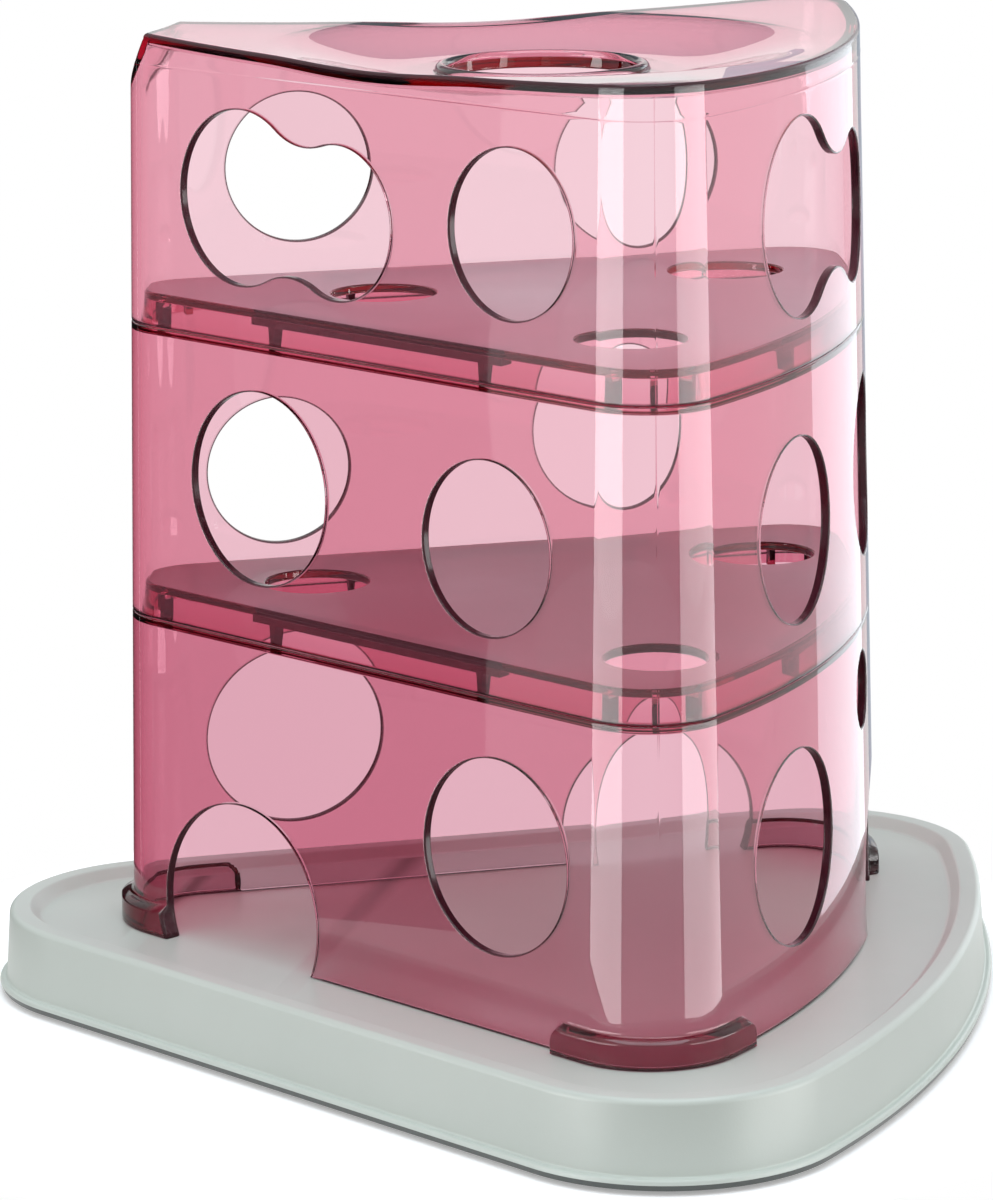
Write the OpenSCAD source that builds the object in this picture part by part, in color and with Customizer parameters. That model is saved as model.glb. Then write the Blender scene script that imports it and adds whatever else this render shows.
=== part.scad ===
// Stacking treat tower for cats: three clear tiers on a low tray.
// Plan: an equilateral triangle of corner arcs with two straight sides and one bowed side.
// X runs from the pointed corner to the bowed side, Z is up, the table is at z = 0.

/* [Plan of the tower] */
// Distance between the centres of two corner arcs
span = 166; // [140:1:190]
// Outer radius of a corner at the foot of the tower
corner_r = 22.5; // [16:0.5:30]
// Outer radius of the bowed side at the foot of the tower
bow_r = 266; // [220:1:400]
// Lean of the walls, inward travel for each unit of height
draft = 0.022; // [0:0.001:0.03]

/* [Tiers] */
// Thickness of the clear walls
wall = 2.5; // [1.8:0.1:3]
// Height of the lower tier from the tray to its shoulder
lower_h = 88; // [84:0.5:100]
// Height of the middle tier from seam to shoulder
middle_h = 80; // [76:0.5:90]
// Height of the top tier from its seam to the level of its dished rim at the centre
top_h = 74.5; // [70:0.5:85]
// Height of the raised floor above its shoulder
plateau_h = 8.6; // [7:0.2:12]
// Thickness of the floor plates
floor_t = 2.4; // [1.8:0.1:3]
// Thickness of the shoulder under a seam
shoulder_t = 2.2; // [1.6:0.1:3]
// How far a raised floor draws in towards its top, to lead the next tier over it
plateau_lead = 0.8; // [0.2:0.1:1.5]
// Clearance between a raised floor and the tier that slips over it
slip_gap = 0.5; // [0.3:0.05:0.8]

/* [Floor ribs] */
// Length of the bar under the middle of each side
bar_l = 93; // [60:1:110]
// Width of the bar
bar_w = 3.4; // [2:0.1:5]
// Depth of the bar under the floor
bar_t = 2.2; // [1.5:0.1:3]
// Distance between the two gussets of a bar
gusset_pitch = 78; // [40:1:84]
// Thickness of the gussets and the corner ribs
rib_t = 1.8; // [1.2:0.1:3]
// Reach of the gussets and the corner ribs from the wall
rib_reach = 3; // [2:0.1:5]

/* [Treat and filling holes] */
// Diameter of the treat holes in the floors
treat_d = 29; // [20:0.5:34]
// Diameter of the filling hole in the dished top
fill_d = 50; // [36:0.5:60]
// Thickness of the rounded lip round the filling hole
lip_t = 3.2; // [2.6:0.1:5]
// Height of the lip above the bottom of the dish
lip_h = 2; // [1:0.1:4]

/* [Dished top] */
// Radius of the shallow sphere that the rim of the top follows
rim_sphere_r = 1470; // [1000:10:2500]
// Extra depth of the dish inside the rim
dish_depth = 5.6; // [2:0.1:7]
// Radius of the flat bottom of the dish
dish_bottom_r = 36; // [32:0.5:42]
// Radius at which the dish meets the rim
dish_top_r = 74; // [60:0.5:90]
// Depth of the thumb notch at the pointed corner, measured at the rim
notch_depth = 8.6; // [4:0.1:10]
// Height of the thumb notch
notch_h = 16.5; // [10:0.5:22]

/* [Foot collars] */
// Thickness of a collar outside the wall
collar_t = 3.2; // [2:0.1:5]
// Height of a collar
collar_h = 8.5; // [5:0.5:12]
// Length of a collar along each side beyond the corner arc
collar_run = 12; // [4:0.5:16]

/* [Tray] */
// How much farther apart the tray's corner centres are than the tower's
tray_spread = 22.4; // [16:0.2:40]
// Radius of the tray's corners at the rim
tray_corner_r = 44.5; // [40:0.5:60]
// Radius of the tray's bowed side at the rim
tray_bow_r = 359; // [300:1:500]
// Height of the tray's floor above the table
tray_floor_z = 20.5; // [16:0.5:30]
// Height of the rim above the tray's floor
tray_rim_h = 3.2; // [2:0.1:6]
// Width of the rounded rim
tray_rim_w = 8.5; // [7:0.5:14]
// Thickness of the tray's walls and floor
tray_wall = 2.6; // [2:0.1:3.5]
// Outward lean of the tray's side from rim to flange
tray_lean = 1.6; // [0:0.1:3]
// Height of the flange at the bottom of the tray
flange_h = 3; // [2:0.1:5]
// How far the flange stands out
flange_out = 1.8; // [1:0.1:3]
// How far the flange draws in towards its edges
flange_edge = 0.7; // [0.3:0.1:1.2]
// Height of the stiffening ribs under the floor
tray_rib_h = 9; // [4:0.5:14]
// Thickness of the stiffening ribs
tray_rib_t = 2; // [1.5:0.1:3]
// Diameter of the ring that ties the stiffening ribs together
tray_ring_d = 60; // [40:1:90]

/* [Feet] */
// Diameter of a foot
foot_d = 14; // [10:0.5:18]
// Height of a foot
foot_h = 3.4; // [2.5:0.1:5]
// Depth of the recess that holds a foot
foot_sink = 2.2; // [1:0.1:2.4]
// Clearance round a foot in its recess
foot_gap = 0.1; // [0.05:0.05:0.3]
// Wall of the boss round a recess
boss_wall = 2.2; // [1.5:0.1:4]
// From the tray's outer side to the middle of a foot
foot_inset = 15; // [13:0.5:22]
// Rounding of a foot's lower edge
foot_edge = 0.6; // [0.2:0.1:1]

/* [Hidden] */
$fn = 96;
berry = [0.74, 0.36, 0.46, 0.55];
mint_grey = [0.77, 0.80, 0.76];
dark_rubber = [0.16, 0.16, 0.17];
corners = [180, -60, 60];
// Thickness of the outlines that a loft runs through
skin = 0.01;
// How far a rib or boss runs into the piece that carries it
bite = 0.4;
// Straight steps in each arc of an outline
arc_steps = 14;
// How far a cut reaches to each side of a wall
cut_reach = 16;
tray_span = span + tray_spread;

// Tower levels
lower_z = tray_floor_z;
middle_z = lower_z + lower_h;
top_z = middle_z + middle_h;
dish_z = top_z + top_h;
tower_top = dish_z + pow(span, 2) / rim_sphere_r;
tray_base = foot_h - foot_sink;
rim_r = tray_corner_r - tray_rim_w;

// Wall holes: which end of the side, distance from that end, height above the tier's foot, diameter
left_lower = [[1, 34, 46.5, 51]];
left_middle = [[-1, 43, 41.5, 51.5], [1, 38, 38, 45]];
left_top = [[1, 30, 38.5, 43]];
bow_lower = [[-1, 43.5, 44, 51], [1, 74.5, 70, 21]];
bow_middle = [[-1, 47.5, 38.5, 48], [1, 60, 41, 49]];
bow_top = [[1, 33.5, 56, 22]];
right_lower = [[1, 29, 44, 51]];
right_middle = [[1, 25, 33, 41], [-1, 44, 39.5, 47]];
right_top = [[1, 31.5, 37.5, 41], [-1, 38, 33.5, 46]];
// Arches of the lower tier, given in the same way
left_arch = [[-1, 35.5, 13, 59.5]];
bow_arch = [[1, 44.5, 12.5, 60]];
right_arch = [[-1, 31, 10.5, 56]];
// Double holes of the top tier: the larger circle, the smaller one and the radius that blends them
left_double = [[-1, 36.5, 38, 46], [-1, 73, 35, 40], 20];
bow_double = [[-1, 54.5, 38, 51], [1, 77.5, 33.5, 40], 25];
// Treat holes of the two floors: angle of the corner, then steps from its centre
lower_treats = [[180, 32, 0], [-60, -2, 18], [60, -2, -23]];
middle_treats = [[180, 52, 0], [-60, -10, 28], [60, -10, -28]];

// Half angle of the bowed side, seen from its own centre
function bow_half(s, c, b) = asin(s / 2 / (b - c));
// From the middle of the plan to the straight line between the two front corners
function front_x(s) = s / (2 * sqrt(3));
// Centre of the bowed side
function bow_x(s, c, b) = front_x(s) - sqrt(pow(b - c, 2) - pow(s / 2, 2));
// Half length of a side of the tower
half_side = span / 2;
half_bow = bow_r * asin(half_side / (bow_r - corner_r)) * PI / 180;
// A hole's place along its side, from the middle of the side
function along(h, half) = h[0] * (half - h[1]);
// Centre of a corner arc
function corner_at(s, angle) = s / sqrt(3) * [cos(angle), sin(angle)];
// Outer face of the tower's wall, from the corner centres, at a height
function face_d(z) = corner_r - draft * (z - lower_z);
// Surface of the dished top at a distance from its middle
function ease(t) = t * t * (3 - 2 * t);
function dish_at(r) = dish_z + r * r / (2 * rim_sphere_r)
    - dish_depth * (1 - ease(max(0, min(1, (r - dish_bottom_r) / (dish_top_r - dish_bottom_r)))));
// Points of an arc, the angles running either way
function arc(c, r, from, to, steps) =
    [for (i = [0:steps]) let (t = from + (to - from) * i / steps) c + r * [cos(t), sin(t)]];
function heading(v) = atan2(v[1], v[0]);

// The box of the tray's flange is centred on the origin
flange_d = tray_corner_r + tray_lean + flange_out;
tray_far = bow_x(tray_span, tray_corner_r, tray_bow_r) + tray_bow_r - tray_corner_r + flange_d;
tray_near = -tray_span / sqrt(3) - flange_d;
middle_x = -(tray_far + tray_near) / 2;

// Outline of a plan at a distance from its corner centres
function outline(s, c, b, d) =
    let (half = bow_half(s, c, b), bow_c = [bow_x(s, c, b), 0])
    concat(
        arc(corner_at(s, 180), d, 120, 240, arc_steps),
        arc(corner_at(s, -60), d, -120, -half, arc_steps),
        [for (i = [1:arc_steps - 1]) let (t = half * (2 * i / arc_steps - 1))
            bow_c + (b - c + d) * [cos(t), sin(t)]],
        arc(corner_at(s, 60), d, half, 120, arc_steps));
function tower_outline(d) = outline(span, corner_r, bow_r, d);
function tray_outline(d) = outline(tray_span, tray_corner_r, tray_bow_r, d);

// Upright solid between two heights
module tower_block(d, z, top) translate([0, 0, z]) linear_extrude(top - z) polygon(tower_outline(d));
module tray_block(d, z, top) translate([0, 0, z]) linear_extrude(top - z) polygon(tray_outline(d));

// Solid lofted through outlines, each given as distance from the corner centres and height
module tower_loft(levels) hull() for (l = levels) tower_block(l[0], l[1], l[1] + skin);
module tray_loft(levels) hull() for (l = levels) tray_block(l[0], l[1], l[1] + skin);

// Places a cut on a wall: along the side, then up from a height
module on_left(z) translate(corner_at(span, 180)) rotate([90, 0, -30])
    translate([half_side, z, corner_r]) children();
module on_right(z) translate(corner_at(span, 60)) rotate([90, 0, 210])
    translate([half_side, z, corner_r]) children();
module on_bow(u, z) translate([bow_x(span, corner_r, bow_r), 0, z]) rotate(u / bow_r * 180 / PI)
    translate([bow_r, 0, 0]) rotate([90, 0, 90]) children();
module through() translate([0, 0, -cut_reach]) linear_extrude(2 * cut_reach) children();

module round_holes(left, bow, right, z) {
    for (h = left)
        on_left(z) through() translate([along(h, half_side), h[2]]) circle(d = h[3]);
    for (h = right)
        on_right(z) through() translate([along(h, half_side), h[2]]) circle(d = h[3]);
    for (h = bow)
        on_bow(along(h, half_bow), z) through() translate([0, h[2]]) circle(d = h[3]);
}

// Two circles joined by a neck with round shoulders
module double_hole(double, half) {
    ca = [along(double[0], half), double[0][2]];
    cb = [along(double[1], half), double[1][2]];
    ra = double[0][3] / 2;
    rb = double[1][3] / 2;
    blend = double[2];
    way = norm(cb - ca);
    along = (cb - ca) / way;
    across = [-along[1], along[0]];
    x = (pow(ra + blend, 2) - pow(rb + blend, 2) + way * way) / (2 * way);
    y = sqrt(pow(ra + blend, 2) - x * x);
    above = ca + along * x + across * y;
    below = ca + along * x - across * y;
    polygon(concat(
        arc(ca, ra, heading(above - ca), heading(below - ca) + 360, 24),
        arc(below, blend, heading(ca - below), heading(cb - below), 8),
        arc(cb, rb, heading(below - cb), heading(above - cb), 24),
        arc(above, blend, heading(cb - above) + 360, heading(ca - above) + 360, 8)));
}

// Solid and hollow of a tier that carries another one
module carrying_shell(z, h) {
    seam = z + h;
    raised = seam + plateau_h;
    out = face_d(seam) - wall - slip_gap;
    under = seam - shoulder_t;
    difference() {
        union() {
            tower_loft([[face_d(z), z], [face_d(seam), seam - skin]]);
            tower_loft([[out, seam - shoulder_t / 2], [out - plateau_lead, raised - skin]]);
        }
        tower_loft([[face_d(z) - wall, z - 1], [face_d(under) - wall, under - skin]]);
        difference() {
            tower_block(out - plateau_lead - wall, under - 1, raised - floor_t);
            floor_ribs(z, h);
        }
    }
}

// Bar, gussets and corner ribs under a raised floor
module floor_ribs(z, h) {
    seam = z + h;
    under = seam + plateau_h - floor_t;
    low = seam - shoulder_t + bite;
    inner = face_d(seam) - 2 * wall - slip_gap - plateau_lead;
    bow_in = bow_r - corner_r + inner;
    bar_turn = bar_l / bow_r * 180 / PI;
    half = bow_half(span, corner_r, bow_r);
    for (side = [[corner_at(span, -60), -120], [corner_at(span, 180), 120]])
        translate(side[0]) rotate(side[1]) {
            translate([inner - bar_w, -(span + bar_l) / 2, under - bar_t])
                cube([bar_w + bite, bar_l, bar_t + bite]);
            for (g = [-1, 1])
                translate([inner, -(span + g * gusset_pitch) / 2, 0]) rib(low, under);
        }
    translate([bow_x(span, corner_r, bow_r), 0, 0]) {
        translate([0, 0, under - bar_t]) linear_extrude(bar_t + bite)
            polygon(concat(arc([0, 0], bow_in + bite, -bar_turn / 2, bar_turn / 2, arc_steps),
                arc([0, 0], bow_in - bar_w, bar_turn / 2, -bar_turn / 2, arc_steps)));
        for (g = [-1, 1])
            rotate(g * gusset_pitch / 2 / bow_r * 180 / PI)
                translate([bow_in, 0, 0]) rib(low, under);
    }
    for (c = [[180, 120, 180, 240], [-60, -120, -70, -half], [60, half, 70, 120]])
        for (a = [c[1], c[2], c[3]])
            translate(corner_at(span, c[0])) rotate(a) translate([inner, 0, 0]) rib(low, under);
}

// Upright rib standing inwards from a wall
module rib(low, under) translate([-rib_reach, -rib_t / 2, low])
    cube([rib_reach + 2 * bite, rib_t, under - low + 2 * bite]);

// A tier that carries another one, before its wall holes are cut
module carrying_tier(z, h, treats) difference() {
    carrying_shell(z, h);
    for (t = treats)
        translate(corner_at(span, t[0]) + [t[1], t[2]])
            translate([0, 0, z + h]) cylinder(d = treat_d, h = 2 * plateau_h);
}

// Path round a corner, from a run along one side to a run along the next
function collar_path(angle, from, to, d) =
    let (c = corner_at(span, angle), turn = arc(c, d, from, to, arc_steps))
    concat([turn[0] + collar_run * [sin(from), -cos(from)]], turn,
        [turn[arc_steps] + collar_run * [-sin(to), cos(to)]]);
function backwards(list) = [for (i = [len(list) - 1:-1:0]) list[i]];

// Three collars round the corners, each running a little way along both sides
module foot_collars() {
    half = bow_half(span, corner_r, bow_r);
    for (c = [[180, 120, 240], [-60, -120, -half], [60, half, 120]])
        translate([0, 0, lower_z]) linear_extrude(collar_h)
            polygon(concat(collar_path(c[0], c[1], c[2], corner_r + collar_t),
                backwards(collar_path(c[0], c[1], c[2], corner_r - wall / 2))));
}

module lower_tier() color(berry) translate([middle_x, 0, 0])
    difference() {
        union() {
            carrying_tier(lower_z, lower_h, lower_treats);
            foot_collars();
        }
        round_holes(left_lower, bow_lower, right_lower, lower_z);
        round_holes(left_arch, bow_arch, right_arch, lower_z);
    }

module middle_tier() color(berry) translate([middle_x, 0, 0])
    difference() {
        carrying_tier(middle_z, middle_h, middle_treats);
        round_holes(left_middle, bow_middle, right_middle, middle_z);
    }

// Everything below the dished top, lowered by a drop
module below_dish(drop) {
    slope_r = [for (i = [0:8]) dish_top_r + (dish_bottom_r - dish_top_r) * i / 8];
    rim_r = [for (i = [0:3]) span + (dish_top_r - span) * i / 4];
    rotate_extrude() polygon(concat([[0, top_z - 1], [span, top_z - 1]],
        [for (r = concat(rim_r, slope_r)) [r, dish_at(r) - drop]],
        [[0, dish_at(dish_bottom_r) - drop]]));
}

// What lies beyond the sloping face of the thumb notch, moved inwards by an inset
module beyond_notch(inset) {
    slope = atan(notch_depth / notch_h);
    rim = dish_at(span / sqrt(3) + face_d(dish_z));
    foot_x = -span / sqrt(3) - face_d(rim - notch_h);
    translate([foot_x + inset / cos(slope), 0, rim - notch_h]) rotate([0, slope, 0])
        translate([-span, -span, -span]) cube([span, 2 * span, 2 * span]);
}

module top_tier() color(berry) translate([middle_x, 0, 0]) {
    lip_top = dish_at(dish_bottom_r) + lip_h;
    bow_middle_u = (along(bow_double[0], half_bow) + along(bow_double[1], half_bow)) / 2;
    difference() {
        intersection() {
            tower_loft([[face_d(top_z), top_z], [face_d(tower_top), tower_top]]);
            below_dish(0);
        }
        difference() {
            intersection() {
                tower_loft([[face_d(top_z) - wall, top_z - 1], [face_d(tower_top) - wall, tower_top]]);
                below_dish(wall);
            }
            beyond_notch(wall);
        }
        beyond_notch(0);
        translate([0, 0, top_z]) cylinder(d = fill_d, h = tower_top);
        round_holes(left_top, bow_top, right_top, top_z);
        on_left(top_z) through() double_hole(left_double, half_side);
        on_bow(bow_middle_u, top_z) through()
            translate([-bow_middle_u, 0]) double_hole(bow_double, half_bow);
    }
    rotate_extrude() {
        translate([fill_d / 2 + lip_t / 2, lip_top - lip_t / 2]) circle(d = lip_t, $fn = 32);
        translate([fill_d / 2, lip_top - lip_h - wall]) square([lip_t, lip_h + wall - lip_t / 2]);
    }
}

// Rim, side and flange of the tray, hollow underneath
module tray_shell() {
    rim_z = tray_floor_z + tray_rim_h;
    rim_round = tray_rim_w / 3;
    inner_slope = (tray_rim_w - 2 * rim_round) / tray_rim_h;
    rim_edge = arc([tray_corner_r - rim_round, rim_z - rim_round - skin], rim_round, 10, 90, 5);
    difference() {
        union() {
            tray_loft(concat([[tray_corner_r + tray_lean, tray_base + flange_h / 2]], rim_edge));
            tray_loft([[flange_d - flange_edge, tray_base], [flange_d, tray_base + flange_h / 2],
                [flange_d - flange_edge, tray_base + flange_h - skin]]);
        }
        tray_loft([[rim_r, tray_floor_z], [rim_r + inner_slope * (tray_rim_h + 1), rim_z + 1]]);
        tray_loft([[tray_corner_r + tray_lean - tray_wall, tray_base - 1],
            [tray_corner_r - tray_wall, tray_floor_z - tray_wall - skin]]);
    }
}

// Where the six feet stand: near the corners and near the middles of the sides
foot_d_in = tray_corner_r - foot_inset;
foot_places = concat(
    [for (a = corners) corner_at(tray_span, a) + foot_d_in * [cos(a), sin(a)]],
    [for (a = [120, -120]) (front_x(tray_span) + foot_d_in) * [cos(a), sin(a)]],
    [[bow_x(tray_span, tray_corner_r, tray_bow_r) + tray_bow_r - foot_inset, 0]]);

module tray_ribs() {
    low = tray_floor_z - tray_wall - tray_rib_h;
    for (p = foot_places)
        rotate(heading(p)) translate([0, -tray_rib_t / 2, low])
            cube([norm(p), tray_rib_t, tray_rib_h + bite]);
    translate([0, 0, low]) difference() {
        cylinder(d = tray_ring_d, h = tray_rib_h + bite);
        translate([0, 0, -1]) cylinder(d = tray_ring_d - 2 * tray_rib_t, h = tray_rib_h + 2);
    }
}

module base_tray() color(mint_grey) translate([middle_x, 0, 0]) {
    seat_d = foot_d + 2 * foot_gap;
    difference() {
        union() {
            tray_shell();
            tray_ribs();
            for (p = foot_places)
                translate([p[0], p[1], tray_base])
                    cylinder(d = seat_d + 2 * boss_wall, h = tray_floor_z - tray_base - tray_wall / 2);
        }
        for (p = foot_places)
            translate([p[0], p[1], tray_base - 1]) cylinder(d = seat_d, h = foot_sink + 1);
    }
}

// A pad with a softened lower edge
module foot(i) color(dark_rubber) translate([middle_x + foot_places[i][0], foot_places[i][1], 0])
    rotate_extrude() polygon(concat([[0, 0]],
        arc([foot_d / 2 - foot_edge, foot_edge], foot_edge, -90, 0, 4),
        [[foot_d / 2, foot_h], [0, foot_h]]));

base_tray();
lower_tier();
middle_tier();
top_tier();
foot(0);  // foot_1
foot(1);  // foot_2
foot(2);  // foot_3
foot(3);  // foot_4
foot(4);  // foot_5
foot(5);  // foot_6
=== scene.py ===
"""Looks of the cat activity tower: clear berry tiers, a mint-grey tray, rubber feet, studio."""
import math

import bpy
import numpy as np
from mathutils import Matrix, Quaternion, Vector
from mathutils.geometry import delaunay_2d_cdt


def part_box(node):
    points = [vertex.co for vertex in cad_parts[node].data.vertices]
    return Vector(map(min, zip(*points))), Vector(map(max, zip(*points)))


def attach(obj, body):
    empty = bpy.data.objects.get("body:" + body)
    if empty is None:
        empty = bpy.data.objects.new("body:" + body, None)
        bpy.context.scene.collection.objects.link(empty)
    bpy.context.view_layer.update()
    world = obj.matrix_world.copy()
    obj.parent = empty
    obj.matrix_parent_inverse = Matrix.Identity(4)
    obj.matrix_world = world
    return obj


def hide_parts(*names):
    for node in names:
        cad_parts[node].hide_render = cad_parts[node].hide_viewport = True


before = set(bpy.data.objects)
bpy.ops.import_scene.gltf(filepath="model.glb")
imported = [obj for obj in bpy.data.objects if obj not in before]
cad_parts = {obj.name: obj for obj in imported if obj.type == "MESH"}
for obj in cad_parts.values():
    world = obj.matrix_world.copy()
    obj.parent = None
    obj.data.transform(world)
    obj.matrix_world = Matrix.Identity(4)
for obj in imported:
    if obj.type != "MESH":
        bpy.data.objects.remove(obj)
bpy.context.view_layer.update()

# Driving dimensions of the tower and the tray, in millimetres
MM = 0.001
SPAN, CORNER_R, BOW_R, DRAFT = 166, 22.5, 266, 0.022
WALL, FLOOR_T, SHOULDER_T, SLIP_GAP, PLATEAU_LEAD = 2.5, 2.4, 2.2, 0.5, 0.8
BAR_L, BAR_W, BAR_T, GUSSET_PITCH = 93, 3.4, 2.2, 78
RIB_T, RIB_REACH, GUSSET_T, GUSSET_TIP = 1.4, 3, 2.4, 0.9
TREAT_D, FILL_D, LIP_T, LIP_H = 29, 50, 3.2, 2
RIM_SPHERE_R, DISH_DEPTH, DISH_BOTTOM_R, DISH_TOP_R = 1470, 5.6, 36, 74
NOTCH_DEPTH, NOTCH_H, DISH_H = 8.6, 16.5, 74.5
COLLAR_T, COLLAR_H, COLLAR_RUN, COLLAR_END_R = 3.2, 8.5, 12, 5
TRAY_SPAN, TRAY_CORNER_R, TRAY_BOW_R, TRAY_WALL = 188.4, 44.5, 359, 2.6
TRAY_RIM_H, TRAY_RIM_W, TRAY_LEAN = 3.2, 8.5, 1.6
FLANGE_H, FLANGE_OUT, FLANGE_EDGE = 3, 1.8, 0.7
TRAY_RIB_H, TRAY_RIB_T, TRAY_RING_D = 9, 2, 60
FOOT_SEAT_D, BOSS_WALL, FOOT_INSET = 14.2, 2.2, 15
# How far ribs and bosses run into the plate above them, and ribs and gussets stand off the wall
RIB_SINK, BOSS_SINK, RIB_GAP, GUSSET_GAP = 0.3, 0.4, 0.4, 0.2
# Undercut below the tray's flange
UNDERCUT_IN, UNDERCUT_H = 0.7, 0.55 * FLANGE_H
# Roundings: cut edges, the rim, the seam, the foot and brim of a raised floor, corners inside
EDGE_R, RIM_R, SEAM_R, STEP_R, PLATEAU_R, INNER_R = 0.55, 1.1, 0.7, 0.4, 1.0, 0.3
LIP_FOOT_R, FILL_R = 0.5, 0.6
# Ridges where the mould parts: the upright one, and the level one with its drop below the rim
PARTING_H, PARTING_W, LINE_H, LINE_W, LINE_DROP = 0.05, 0.2, 0.08, 0.25, 4.6
# How softly the collars and the notch run into the wall
COLLAR_BLEND, COLLAR_START, NOTCH_BLEND = 1.6, 0.1, 0.06
# Painted shade on cut edges, the rim, the collars, the notch's far edge and the crescent beside it, standing
# in for the light that the clear plastic bends away
EDGE_SHADE, RIM_SHADE, COLLAR_SHADE, NOTCH_SHADE, CRESCENT_SHADE = 0.9, 0.85, 0.4, 0.85, 0.4
CREASE_W, CRESCENT_W = 0.5, 4.5
# Straight run before and after a section, which only gives its ends a direction
LEAD = 6
# Points round a treat hole, an arch or the tray's ring, and round the filling hole
TURN_STEPS, FILL_STEPS = 72, 120
# Grid of a wall: first level, spacing, and room beside holes, the top edge and arches
FIRST_LEVEL, LEVEL_STEP, EDGE_ROOM, TOP_ROOM, FOOT_ROOM = 1.6, 3.6, 1.3, 0.8, 1.5
# Looks of faces: with the moulding's normals, flat, or flat in the second finish, which on the tiers is a
# painted near-black shade
SMOOTH, FLAT, PAINTED_SHADE_LOOK = 0, 1, 2

# Levels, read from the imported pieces
box = {name: [np.array(corner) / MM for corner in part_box(name)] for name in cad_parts}
TRAY_BASE = box["base_tray"][0][2]
LOWER_Z = box["lower_tier"][0][2]
MIDDLE_Z = box["middle_tier"][0][2]
TOP_Z = box["top_tier"][0][2]
PLATEAU_H = box["lower_tier"][1][2] - MIDDLE_Z
MIDDLE_X = box["lower_tier"][0][0] + SPAN / math.sqrt(3) + CORNER_R + COLLAR_T
DISH_Z = TOP_Z + DISH_H

# Holes of the tiers: which end of the side, distance from that end, height above the foot, diameter
ROUND_HOLES = {
    "lower": {"left": [(1, 34, 46.5, 51)], "bow": [(-1, 43.5, 44, 51), (1, 74.5, 70, 21)],
              "right": [(1, 29, 45, 50)]},
    "middle": {"left": [(-1, 43, 41.5, 51.5), (1, 38, 38, 45)],
               "bow": [(-1, 47.5, 38.5, 48), (1, 60, 41, 49)],
               "right": [(1, 25, 33, 41), (-1, 44, 39.5, 47)]},
    "top": {"left": [(1, 30, 38.5, 43)], "bow": [(1, 33.5, 56, 22)],
            "right": [(1, 31.5, 37.5, 41), (-1, 38, 33.5, 46)]},
}
ARCHES = {"right": [(-1, 31, 10.5, 56)], "left": [(-1, 35.5, 12.2, 59.5)], "bow": [(1, 44.5, 12.5, 60)]}
DOUBLE_HOLES = {"left": ((-1, 36.5, 38, 46), (-1, 73, 35, 40), 20),
                "bow": ((-1, 54.5, 38, 51), (1, 77.5, 33.5, 40), 25)}
# Treat holes of the floors: angle of the corner, then steps from its centre
TREAT_HOLES = {"lower": [(180, 32, 0), (-60, -2, 18), (60, -2, -23)],
               "middle": [(180, 52, 0), (-60, -10, 28), (60, -10, -28)]}


def turned(angle):
    """Unit vector in the plan at an angle in radians."""
    return np.stack([np.cos(angle), np.sin(angle)], axis=-1)


def circle(steps):
    """Unit vectors all round, evenly spaced."""
    return turned(np.arange(steps) / steps * math.tau)


def smooth(t):
    """Soft step from 0 to 1."""
    t = np.clip(t, 0, 1)
    return t * t * (3 - 2 * t)


class Plan:
    """Rounded triangle with two straight sides and a bowed one, walked anticlockwise from above.

    A place on it is s, the way walked along the foot of the wall from the middle of the right
    corner, and d, the distance outwards from the line of the corner centres.
    """

    def __init__(self, span, corner_r, bow_r, corner_steps=44, side_steps=30, bow_steps=40):
        half = math.asin(span / 2 / (bow_r - corner_r))
        corner = {a: span / math.sqrt(3) * turned(math.radians(a)) for a in (180, -60, 60)}
        bow_middle = np.array([span / math.sqrt(12) - math.sqrt((bow_r - corner_r) ** 2 - span ** 2 / 4), 0])
        third = math.radians(120)
        start = (half + third) / 2
        self.span, self.bow_r, self.corner, self.bow_middle = span, bow_r, corner, bow_middle
        # Name, centre of the turn, its radius, first and last angle, scale of s, steps
        turns = [("right_corner_end", corner[60], 0, start, third, corner_r, corner_steps // 2),
                 ("right", corner[60], None, third, third, span, side_steps),
                 ("left_corner", corner[180], 0, third, 2 * third, corner_r, corner_steps),
                 ("left", corner[180], None, 2 * third, 2 * third, span, side_steps),
                 ("front_corner", corner[-60], 0, 2 * third, math.tau - half, corner_r, corner_steps),
                 ("bow", bow_middle, bow_r - corner_r, -half, half, bow_r, bow_steps),
                 ("right_corner", corner[60], 0, half, start, corner_r, corner_steps // 2)]
        self.turns, self.start, self.length, stations, at = turns, {}, {}, [], 0.0
        for name, _, radius, first, last, scale, steps in turns:
            length = scale if radius is None else scale * (last - first)
            self.start[name], self.length[name] = at, length
            stations.append(at + length * np.arange(steps) / steps)
            at += length
        self.around = at
        self.stations = np.concatenate(stations)

    def middle(self, side):
        return self.start[side] + self.length[side] / 2

    def place(self, side, hole):
        """Where a hole's centre lies along the plan."""
        end, distance = hole[0], hole[1]
        return self.middle(side) + end * (self.length[side] / 2 - distance)

    def frame(self, s):
        """Centre line and outward direction at each s."""
        s = np.asarray(s, float) % self.around
        centre, out = np.zeros(s.shape + (2,)), np.zeros(s.shape + (2,))
        for name, middle, radius, first, last, scale, _ in self.turns:
            here = (s >= self.start[name] - 1e-9) & (s <= self.start[name] + self.length[name] + 1e-9)
            way = (s - self.start[name])[here]
            if radius is None:
                out[here] = turned(np.full(way.shape, first))
                centre[here] = middle + way[:, None] * turned(first + math.pi / 2)
            else:
                out[here] = turned(first + way / scale)
                centre[here] = middle + radius * out[here]
        return centre, out

    def point(self, s, d, z):
        """Points of the part, in millimetres."""
        centre, out = self.frame(s)
        flat = centre + np.asarray(d)[..., None] * out
        return np.concatenate([flat + [MIDDLE_X, 0], np.broadcast_to(z, flat.shape[:-1])[..., None]], -1)

    def outline(self, d):
        """Line at one distance all round, in the flat."""
        return self.point(self.stations, np.full(len(self.stations), d), 0)[:, :2]


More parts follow.
